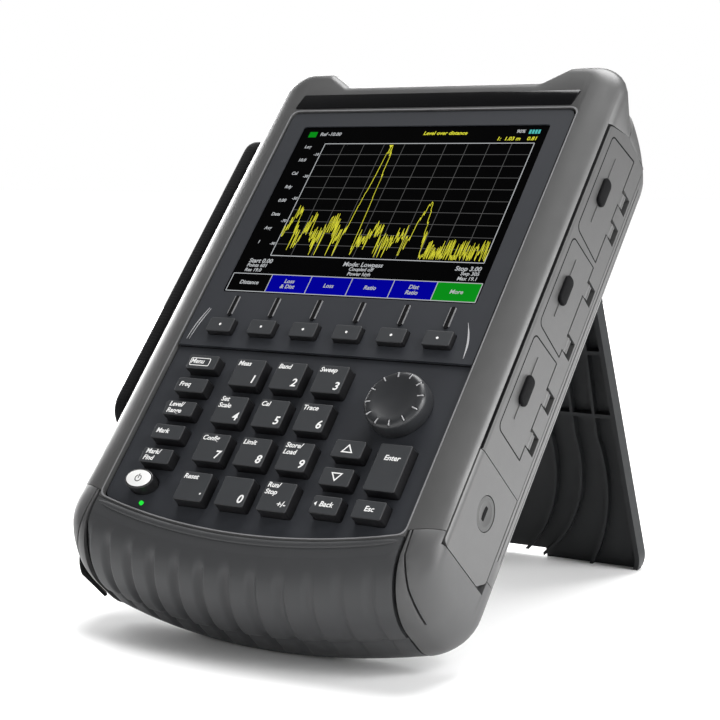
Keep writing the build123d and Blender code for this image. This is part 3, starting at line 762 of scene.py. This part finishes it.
soften(bumpers, 0.4)
settle(bumpers, "root", "grip_rubber", "bumper_rubber", standsFor=["corner_bumpers"], angle=45.0)
standOnTable(bumpers)
print("bumpers done")


# blank strip above the display; round the panel a light grey bead as a painted highlight and a near-black
# sheet in the groove as painted shade
strip = {"slant": 2.2, "rise": 0.35}
stripLow, stripHigh = faceBox("name_strip")
stripOutline = rounded([(stripLow.x - strip["slant"], stripLow.y, 1.0), (stripHigh.x, stripLow.y, 1.0),
                        (stripHigh.x + strip["slant"], stripHigh.y, 1.0), (stripLow.x, stripHigh.y, 1.0)], 5)
nameStrip = plate("nameStrip", stripOutline, -1.0, strip["rise"])
soften(nameStrip, 0.25)
settle(nameStrip, "root", "gloss_black", standsFor=["name_strip"])

# light grey bead round the panel seat: a painted highlight along the panel's edge
seatHighlightBead = plate("seatHighlightBead", panelOutline(0.85), -2.0, 0.22)
combine(seatHighlightBead, plate("beadInner", panelOutline(0.3), -9.0, 9.0))
settle(seatHighlightBead, "root", "housing_plastic", "edge_grey")
# near-black sheet seen through the groove round the panel: painted shade
grooveShadeSheet = plate("grooveShadeSheet", panelOutline(0.3), -3.2, -2.6)
combine(grooveShadeSheet, plate("grooveInner", panelOutline(-1.2), -9.0, 9.0))
settle(grooveShadeSheet, "root", "panel_plastic", "thumb_rubber")


def paintedHighlightSliver(low, high, bulge, thick):
    # thin moon-shaped light grey plate: a painted highlight on the curved end of the softkey shelf
    outline = []
    for bow, steps in ((bulge, range(13)), (bulge - thick, range(11, 0, -1))):
        for step in steps:
            share = step / 12
            outline.append((low[0] + (high[0] - low[0]) * share + bow * math.sin(math.pi * share),
                            low[1] + (high[1] - low[1]) * share))
    return plate("paintedHighlightSliver", outline, -0.6, -0.1)


# light grey slivers at both ends of the softkey shelf: painted highlights
shelfEndHighlights = [paintedHighlightSliver((71.8, -79.0), (67.2, -60.5), 1.6, 0.8),
             paintedHighlightSliver((-73.8, -78.5), (-69.4, -60.5), -0.6, 0.35),
             paintedHighlightSliver((-72.4, -78.5), (-68.4, -61.0), -0.4, 0.3)]
settle(joinAll(shelfEndHighlights, "shelfEndHighlights"), "root", "panel_plastic", "sliver_grey")
# near-black line along the step below the softkeys: a painted shadow
stepShadowLine = plate("stepShadowLine", [(-76.4, -82.05), (76.4, -82.05), (76.4, -81.6), (-76.4, -81.6)], -1.9, -1.72)
settle(stepShadowLine, "root", "panel_plastic", "thumb_rubber")
# each softkey: two light grey ridges as painted highlights either side of a near-black core as painted shade
ridge = {"coreWide": 1.9, "coreLong": 11.4, "middle": -58.7, "apart": 1.15, "half": 0.28, "low": -63.4,
         "high": -53.4, "round": 0.25}
coreShades = []
ridgeHighlights = []
for number in range(6):
    keyLow, keyHigh = faceBox(f"softkey_{number + 1}")
    middle = (keyLow.x + keyHigh.x) / 2
    core = roundedBox(ridge["coreWide"], ridge["coreLong"], 0.9, middle, ridge["middle"], 4)
    coreShades.append(plate("core", core, -0.6, 0.1))
    for side in (-ridge["apart"], ridge["apart"]):
        left = middle + side - ridge["half"]
        right = middle + side + ridge["half"]
        outline = [(left, ridge["low"], ridge["round"]), (right, ridge["low"], ridge["round"]),
                   (right, ridge["high"], ridge["round"]), (left, ridge["high"], ridge["round"])]
        ridgeHighlights.append(plate("ridge", rounded(outline, 3), -0.6, 0.05))
settle(joinAll(ridgeHighlights, "softkeyRidgeHighlights"), "root", "panel_plastic", "edge_grey")
settle(joinAll(coreShades, "softkeyCoreShade"), "root", "panel_plastic", "thumb_rubber")
print("strip and ridges done")


legendLook = {"flange": 1.2, "lift": 0.03, "thick": 0.06, "small": 3.3, "digit": 5.6, "sign": 3.8}


def keyTop(node):
    low, high = faceBox(node)
    flange = legendLook["flange"]
    return low.x + flange, low.y + flange, high.x - flange, high.y - flange, high.z


def printOn(node, pieces):
    settle(joinAll(pieces, f"legend_{node}"), node, "key_rubber", "legend_ink")


functionWords = ["Menu", "Freq", "Level/\nRange", "Mark", "Mark/\nFind"]
for number, words in enumerate(functionWords):
    node = f"function_key_{number + 1}"
    left, low, right, high, top = keyTop(node)
    midY = (low + high) / 2
    legend = [lettering("legend", words, legendLook["small"], left + 1.7, midY + 0.2,
                        top + legendLook["lift"], "LEFT", 0.15)]
    if number == 0:
        midX = (left + right) / 2 - 1.2
        band = plate("band", roundedBox(11.0, 4.2, 0.8, midX, midY), top, top + legendLook["thick"])
        combine(band, plate("bandInner", roundedBox(10.3, 3.5, 0.5, midX, midY), top - 1.0, top + 1.0))
        legend.append(band)
    printOn(node, legend)

numberWords = {"1": "Meas", "2": "Band", "3": "Sweep", "4": "Set\nScale", "5": "Cal", "6": "Trace",
               "7": "Config", "8": "Limit", "9": "Store/\nLoad", "point": "Reset", "0": "",
               "sign": "Run/\nStop"}
for digit, words in numberWords.items():
    node = f"number_key_{digit}"
    left, low, right, high, top = keyTop(node)
    mark = {"point": "·", "sign": "+/-"}.get(digit, digit)
    markSize = legendLook["sign" if digit == "sign" else "digit"]
    legend = [lettering("mark", mark, markSize, right - 1.4, low + 3.6, top + legendLook["lift"],
                        "RIGHT", 0.12)]
    if words:
        down = 2.4 if "\n" not in words else 3.4
        legend.append(lettering("word", words, legendLook["small"], left + 0.9, high - down,
                                top + legendLook["lift"], "LEFT", 0.15))
    printOn(node, legend)

for node, words in {"enter_key": "Enter", "escape_key": "Esc", "back_key": "Back"}.items():
    left, low, right, high, top = keyTop(node)
    midY = (low + high) / 2
    offset = 4.4 if node == "enter_key" else 0.2
    legend = [lettering("word", words, 3.4, (left + right) / 2 + 0.3, midY + offset, top + legendLook["lift"],
                        "CENTER", 0.15)]
    if node == "back_key":
        arrow = [(left + 1.2, midY + 0.2), (left + 2.3, midY - 0.8), (left + 2.3, midY + 1.2)]
        legend.append(plate("arrow", arrow, top, top + legendLook["thick"]))
    printOn(node, legend)

for node, sign in {"up_key": 1, "down_key": -1}.items():
    left, low, right, high, top = keyTop(node)
    midX = (left + right) / 2
    midY = (low + high) / 2
    outer = [(midX - 2.9, midY - 1.9 * sign), (midX + 2.9, midY - 1.9 * sign), (midX, midY + 2.3 * sign)]
    inner = [(midX - 1.9, midY - 1.4 * sign), (midX + 1.9, midY - 1.4 * sign), (midX, midY + 1.35 * sign)]
    arrow = plate("arrow", outer, top, top + legendLook["thick"])
    combine(arrow, plate("arrowInner", inner, top - 1.0, top + 1.0))
    printOn(node, [arrow])

for number in range(6):
    node = f"softkey_{number + 1}"
    left, low, right, high, top = keyTop(node)
    dot = roundedBox(1.2, 1.2, 0.58, (left + right) / 2, (low + high) / 2)
    printOn(node, [plate("dot", dot, top, top + legendLook["thick"])])

# power key: white cap on the black rubber, with a ring-and-bar sign
powerLow, powerHigh = faceBox("power_key")
powerX = (powerLow.x + powerHigh.x) / 2
powerY = (powerLow.y + powerHigh.y) / 2


power = {"wide": 6.5, "high": 4.15, "ring": 1.75, "ringInner": 1.35, "inkLow": 0.3, "inkHigh": 0.40,
         "barHalf": 0.2}
cap = plate("powerCap", ellipse(powerX, powerY, power["wide"], power["high"]), powerHigh.z - 0.4,
            powerHigh.z + 0.35)
soften(cap, 0.25, 3)
settle(cap, "power_key", "power_white", "cap_white")
inkLow = powerHigh.z + power["inkLow"]
inkHigh = powerHigh.z + power["inkHigh"]
sign = plate("powerSign", ellipse(powerX, powerY - 0.1, power["ring"], power["ring"], 32), inkLow, inkHigh)
inner = ellipse(powerX, powerY - 0.1, power["ringInner"], power["ringInner"], 32)
combine(sign, plate("signInner", inner, 0, 9))
combine(sign, block("signGap", (powerX - 0.6, powerY + 0.6, 0), (powerX + 0.6, powerY + 4, 9)))
bar = block("signBar", (powerX - power["barHalf"], powerY - 0.2, inkLow),
            (powerX + power["barHalf"], powerY + 2.1, inkHigh))
settle(joinAll([sign, bar], "powerSign"), "power_key", "power_white", "thumb_rubber")
print("legends done")


glassLow, glassHigh = faceBox("display_window")
glassTop = glassHigh.z + 0.01
screen = {"graphLeft": -50.5, "graphRight": 62.5, "graphTop": 40.0, "graphBottom": -28.5, "line": 0.28,
          "bright": 0.42, "softTop": -39.5, "softBottom": -49.6, "boxLine": 0.4, "samples": 420}
graphWide = screen["graphRight"] - screen["graphLeft"]
graphHigh = screen["graphTop"] - screen["graphBottom"]


def litBar(x0, y0, x1, y1, lift=0.0):
    return block("bar", (x0, y0, glassTop + lift), (x1, y1, glassTop + 0.03 + lift))


def litLine(x0, y0, x1, y1, width, lift=0.0):
    if abs(x1 - x0) > abs(y1 - y0):
        return litBar(x0, y0 - width / 2, x1, y0 + width / 2, lift)
    return litBar(x0 - width / 2, y0, x0 + width / 2, y1, lift)


gridLines = []
frameLines = []
for number in range(11):
    x = screen["graphLeft"] + graphWide * number / 10
    y = screen["graphBottom"] + graphHigh * number / 10
    target = frameLines if number in (0, 10) else gridLines
    width = screen["bright"] if number in (0, 10) else screen["line"]
    target.append(litLine(x, screen["graphBottom"], x, screen["graphTop"], width))
    target.append(litLine(screen["graphLeft"], y, screen["graphRight"], y, width))
settle(joinAll(gridLines, "screenGrid"), "root", "screen_glass", "lit_grid")

# response curve: three humps over a noisy floor, from a seeded draw
draw = random.Random(7)
curvePoints = []
for number in range(screen["samples"] + 1):
    share = number / screen["samples"]
    if share < 0.31:
        base = 0.22 + 0.07 * math.sin(share * 60) + 0.16 * math.exp(-((share - 0.045) / 0.018) ** 2)
        rough = 0.10
    elif share < 0.60:
        base = 0.20 - 0.06 * (share - 0.31) + 0.05 * math.sin(share * 45)
        rough = 0.08
    else:
        base = 0.08
        rough = 0.10
    height = base + draw.uniform(-rough, rough)
    if draw.random() < 0.05:
        height -= draw.uniform(0.08, 0.22)
    height += 0.78 * math.exp(-((share - 0.345) / 0.024) ** 2)
    if 0.372 < share < 0.384:
        height = draw.uniform(0.02, 0.10)
    hump = 0.46 * math.exp(-((share - 0.655) / 0.030) ** 2)
    height = max(height * (1 - min(1.0, hump * 1.8)) + hump, 0.015)
    if 0.70 < share < 0.715:
        height = draw.uniform(0.01, 0.06)
    curvePoints.append((screen["graphLeft"] + graphWide * share,
                        screen["graphBottom"] + graphHigh * min(height, 0.97)))
curveData = bpy.data.curves.new("responseCurve", "CURVE")
curveData.dimensions = "3D"
curveData.bevel_depth = 0.17
curveData.bevel_resolution = 0
line = curveData.splines.new("POLY")
line.points.add(len(curvePoints) - 1)
for point, (x, y) in zip(line.points, curvePoints):
    point.co = (x, y, glassTop + 0.12, 1.0)
response = bpy.data.objects.new("responseCurve", curveData)
bpy.context.collection.objects.link(response)
pickOnly(response)
bpy.ops.object.convert(target="MESH")
response = bpy.context.object
peak = max(curvePoints, key=lambda p: p[1])
marker = plate("marker", [(peak[0] - 1.1, peak[1] + 1.0), (peak[0], peak[1] - 0.9),
                          (peak[0] + 1.1, peak[1] + 1.0)], glassTop + 0.1, glassTop + 0.2)
textTop = glassTop + 0.04
yellowPieces = [response, marker,
                lettering("title", "Level over distance", 3.0, 14.0, 46.2, textTop, "CENTER", 0.1),
                lettering("peakText", "1:  1.03 m    0.81", 3.0, 63.0, 42.6, textTop, "RIGHT", 0.1)]
settle(joinAll(yellowPieces, "screenCurve"), "root", "screen_glass", "lit_yellow")

whiteWords = [("Ref -10.00", 2.6, -56.0, 46.0, "LEFT"), ("90%", 2.4, 55.5, 47.0, "RIGHT"),
              ("Start 0.00", 3.0, -61.0, -32.0, "LEFT"),
              ("Points 601\nRes 19.0", 2.4, -61.0, -36.0, "LEFT"),
              ("Mode: Lowpass", 3.0, 2.0, -32.0, "CENTER"),
              ("Coupled off\nPower high", 2.4, 2.0, -36.0, "CENTER"),
              ("Stop 3.00", 3.0, 62.5, -32.0, "RIGHT"), ("Swp 305\nMax 19.1", 2.4, 62.5, -36.0, "RIGHT")]
leftWords = ["Log", "10.0", "Cal", "Rdy", "0.00", "Data", "Avg", "1"]
for number, words in enumerate(leftWords):
    whiteWords.append((words, 2.3, -61.5, 38.0 - number * 8.4, "LEFT"))
for number in range(1, 10, 2):
    y = screen["graphTop"] - graphHigh * number / 10
    whiteWords.append((str(-10 * number), 2.0, -51.2, y, "RIGHT"))
softWords = ["Distance", "Loss\n& Dist", "Loss", "Ratio", "Dist\nRatio", "More"]
boxWidth = (glassHigh.x - glassLow.x - 2.0) / 6
whitePieces = list(frameLines)
bluePieces = []
greenPieces = []
for number, words in enumerate(softWords):
    x0 = glassLow.x + 1.0 + boxWidth * number
    x1 = x0 + boxWidth
    low = screen["softBottom"]
    high = screen["softTop"]
    for ends in ((x0, low, x0, high), (x1, low, x1, high), (x0, low, x1, low), (x0, high, x1, high)):
        whitePieces.append(litLine(*ends, screen["boxLine"], 0.03))
    if number:
        target = greenPieces if number == 5 else bluePieces
        target.append(litBar(x0, low, x1, high, -0.01))
    whiteWords.append((words, 2.7, (x0 + x1) / 2, (high + low) / 2, "CENTER"))
greenPieces.append(litBar(-62.5, 44.2, -58.0, 47.6))
for number, (words, size, x, y, align) in enumerate(whiteWords):
    whitePieces.append(lettering(f"word{number}", words, size * 1.12, x, y, glassTop + 0.05, align, 0.1))
settle(joinAll(whitePieces, "screenReadouts"), "root", "screen_glass", "lit_white")
settle(joinAll(bluePieces, "screenSoftBoxes"), "root", "screen_glass", "lit_blue")
settle(joinAll(greenPieces, "screenTags"), "root", "screen_glass", "lit_green")
battery = [litBar(57.5 + 1.5 * n, 45.6, 58.6 + 1.5 * n, 48.0) for n in range(4)]
settle(joinAll(battery, "screenBattery"), "root", "screen_glass", "lit_teal")
print("display done")


doorLook = {"tabLong": 14.0, "tabWide": 6.6, "tabRise": 1.9, "tabRound": 2.6, "tabDepth": -18.6,
            "doors": {"upper": {"tabAt": 26.5, "slope": 6.0}, "middle": {"tabAt": -28.0, "slope": 2.0},
                      "lower": {"tabAt": -80.4, "slope": 2.0}}}
seals = []
for door, place in doorLook["doors"].items():
    doorLow, doorHigh = faceBox(f"port_door_{door}")
    outline = roundedBox(doorLook["tabWide"], doorLook["tabLong"], doorLook["tabRound"], doorLook["tabDepth"],
                         place["tabAt"])
    tab = sidePlate(f"thumbTab_{door}", [(y, z) for z, y in outline], case["half"] - 0.3,
                    case["half"] + doorLook["tabRise"])
    soften(tab, 0.9, 3)
    settle(tab, f"port_door_{door}", "housing_plastic", "thumb_rubber")
    outline = [(doorLow.y - 0.5, -9.7, 3.4), (doorLow.y - 0.5, -34.35, 0.0), (doorHigh.y + 0.5, -34.35, 0.0),
               (doorHigh.y + 0.5 - place["slope"], -9.7, 3.4)]
    seal = sidePlate("seal", rounded(outline), 93.0, 94.04)
    inner = [(doorLow.y + 0.1, -10.3, 3.0), (doorLow.y + 0.1, -36.0, 0.0), (doorHigh.y + 0.1, -36.0, 0.0),
             (doorHigh.y - 0.1 - place["slope"], -10.3, 3.0)]
    combine(seal, sidePlate("sealInner", rounded(inner), 90.0, 97.0))
    seals.append(seal)
frameLow, frameHigh = faceBox("side_port_frame")
edge = sidePlate("frameSeal", rounded([(frameLow.y, -4.75, 0), (frameLow.y, -5.2, 0), (54.0, -5.2, 2.0),
                                       (frameHigh.y, -22.2, 2.0), (frameHigh.y, -44.0, 0),
                                       (frameHigh.y + 0.45, -44.0, 0), (frameHigh.y + 0.45, -21.9, 2.0),
                                       (54.4, -4.75, 2.0)], 4), 92.6, 93.95)
seals.append(edge)
settle(joinAll(seals, "doorSeals"), "root", "housing_plastic", "thumb_rubber")
latchLow, latchHigh = faceBox("battery_door_latch")
latchY = (latchLow.y + latchHigh.y) / 2
latchZ = (latchLow.z + latchHigh.z) / 2
# near-black slot plate on the battery latch: painted shade standing in for the slot's recess
outline = [(latchY + y, latchZ + z) for z, y in roundedBox(2.2, 8.0, 1.05)]
shadedSlot = sidePlate("latchSlotShade", outline, 93.05, 93.42)     # thin enough to stay clear of the door when pressed
settle(shadedSlot, "battery_door_latch", "housing_plastic", "thumb_rubber")
print("door tabs and seals done")


# padded hand strap with two rows of stitches
strapLook = {"puff": 1.2, "corner": 12.0, "stitchEvery": 4.2, "stitchLong": 2.6, "stitchHalf": 0.25,
             "hem": 4.0, "crown": 6.65, "growLow": (0, -4.0, 0), "growHigh": (0, 9.0, 3.0),
             "layers": [(0.0, 3.2), (0.5, 1.2), (1.3, 0.3), (2.4, 0.0), (4.9, 0.0), (6.0, 0.4), (6.7, 1.3),
                        (7.0, 2.4), (6.7, 3.2), (6.65, 3.7), (7.0, 4.6), (7.3, 7.5), (7.5, 10.5)]}
padLow, padHigh = faceBox("hand_strap")
padLow += Vector(strapLook["growLow"])      # quilted cloth stands a little proud of its stand-in
padHigh += Vector(strapLook["growHigh"])
padMiddle = (padLow + padHigh) / 2
padRings = []
for proud, inset in strapLook["layers"]:
    outline = roundedBox(padHigh.y - padLow.y - 2 * inset, padHigh.z - padLow.z - 2 * inset,
                         strapLook["corner"] - inset, padMiddle.y, padMiddle.z, 7)
    padRings.append([Vector((padHigh.x - proud * strapLook["puff"], y, z)) for y, z in outline])
pad = loftSolid("handStrapPad", padRings)
settle(pad, "root", "strap_fabric", standsFor=["hand_strap"], angle=60.0)
stitches = []
half = strapLook["stitchHalf"]
outside = padHigh.x - strapLook["crown"] * strapLook["puff"]
for number in range(int((padHigh.y - padLow.y - 30) / strapLook["stitchEvery"])):
    y = padLow.y + 15 + number * strapLook["stitchEvery"]
    for z in (padLow.z + strapLook["hem"] - 0.6, padHigh.z - strapLook["hem"] + 0.6):
        stitches.append(block("stitch", (outside - half, y, z - half),
                              (outside + 0.5, y + strapLook["stitchLong"], z + half)))
settle(joinAll(stitches, "strapStitches"), "root", "strap_fabric", "edge_grey")
print("strap done")


# tuning knob: round skirt, soft rim with light nicks, dished top
knobLow, knobHigh = faceBox("tuning_knob")
knobX = (knobLow.x + knobHigh.x) / 2
knobY = (knobLow.y + knobHigh.y) / 2
knob = {"radius": 14.2, "nicks": 12, "nickLong": 2.6, "nickWide": 0.55, "nickEdge": 1.0, "high": 7.0,
        "profile": [(0.0, 0.0), (0.6, -0.2), (5.0, 0.0), (6.0, 0.35), (6.7, 1.1), (7.0, 2.2), (6.95, 3.4),
                    (6.6, 5.0), (6.1, 7.5), (5.8, 10.5), (5.7, 13.0)]}
knobRise = (knobHigh.z - knobLow.z) / knob["high"]
knobRings = []
for rise, inset in knob["profile"]:
    knobRings.append([Vector((x, y, knobLow.z + rise * knobRise)) for x, y in
                      ellipse(knobX, knobY, knob["radius"] - inset, knob["radius"] - inset, 72)])
tuningKnob = loftSolid("tuningKnob", knobRings)
nicks = []
for number in range(knob["nicks"]):
    angle = 2 * math.pi * (number + 0.4) / knob["nicks"]
    along = Vector((math.cos(angle), math.sin(angle)))
    aside = Vector((-along.y, along.x)) * knob["nickWide"] / 2
    far = Vector((knobX, knobY)) + along * (knob["radius"] - knob["nickEdge"])
    near = Vector((knobX, knobY)) + along * (knob["radius"] - knob["nickEdge"] - knob["nickLong"])
    outline = [tuple(near - aside), tuple(far - aside), tuple(far + aside), tuple(near + aside)]
    room = [tuple(near - aside * 2.4), tuple(far - aside * 2.4 + along * 2),
            tuple(far + aside * 2.4 + along * 2), tuple(near + aside * 2.4)]
    combine(tuningKnob, plate("nickCut", room, knobHigh.z - 1.0, knobHigh.z + 3.0))
    nicks.append(plate("nick", outline, knobHigh.z - 1.3, knobHigh.z - 0.25))
settle(tuningKnob, "tuning_knob", "panel_plastic", "knob_rubber", standsFor=["tuning_knob"], angle=40.0)
settle(joinAll(nicks, "knobNicks"), "tuning_knob", "panel_plastic", "sliver_grey")
print("knob done")

# connectors between the horns: threaded sleeves and their white insulators
port = {"spread": 38.0, "depth": -30.5, "root": 7.95, "crest": 8.4, "bore": 6.15, "from": 66.0, "to": 77.6,
        "turns": 10, "insulator": 3.4, "floor": 65.6}


def collar(side, steps):
    # rings round one connector's axis, from (height, radius) pairs
    rings = []
    for y, radius in steps:
        circle = ellipse(side * port["spread"], port["depth"], radius, radius, 40)
        rings.append([Vector((x, y, z)) for x, z in circle])
    return rings


thread = [(port["from"] - 1.0, port["root"])]
for turn in range(port["turns"]):
    y = port["from"] + (port["to"] - port["from"] - 0.6) * turn / port["turns"]
    thread += [(y, port["root"]), (y + 0.5, port["crest"])]
thread += [(port["to"] - 0.4, port["root"] + 0.1), (port["to"], port["root"] - 0.4),
           (port["to"], port["bore"] + 0.3), (port["to"] - 0.3, port["bore"]), (port["floor"], port["bore"])]
core = [(port["floor"] - 0.2, port["insulator"]), (port["floor"] + 2.2, port["insulator"]),
        (port["floor"] + 2.6, port["insulator"] - 0.4)]
sleeves = [loftSolid("sleeve", collar(side, thread)) for side in (-1, 1)]
insulators = [loftSolid("insulator", collar(side, core)) for side in (-1, 1)]
settle(joinAll(sleeves, "portSleeves"), "root", "steel", angle=25.0)
settle(joinAll(insulators, "portInsulators"), "root", "steel", "cap_white")
print("connector details done")


# every CAD node wears its own slot's finish, but for these four
slotOf = {entry["node"]: entry["material_slot"] for entry in frame["record"]["subparts"]}
otherFinish = {"strap_anchors": "thumb_rubber", "side_sockets": "steel", "status_led": "lit_led",
               "battery_door_latch": "latch_grey"}
for node, shown in frame["nodes"].items():
    if not shown.data.materials:
        shown.data.materials.append(None)
    for slotNumber in range(len(shown.material_slots)):
        shown.material_slots[slotNumber].material = finishes[otherFinish.get(node, slotOf[node])]
print("CAD nodes finished")
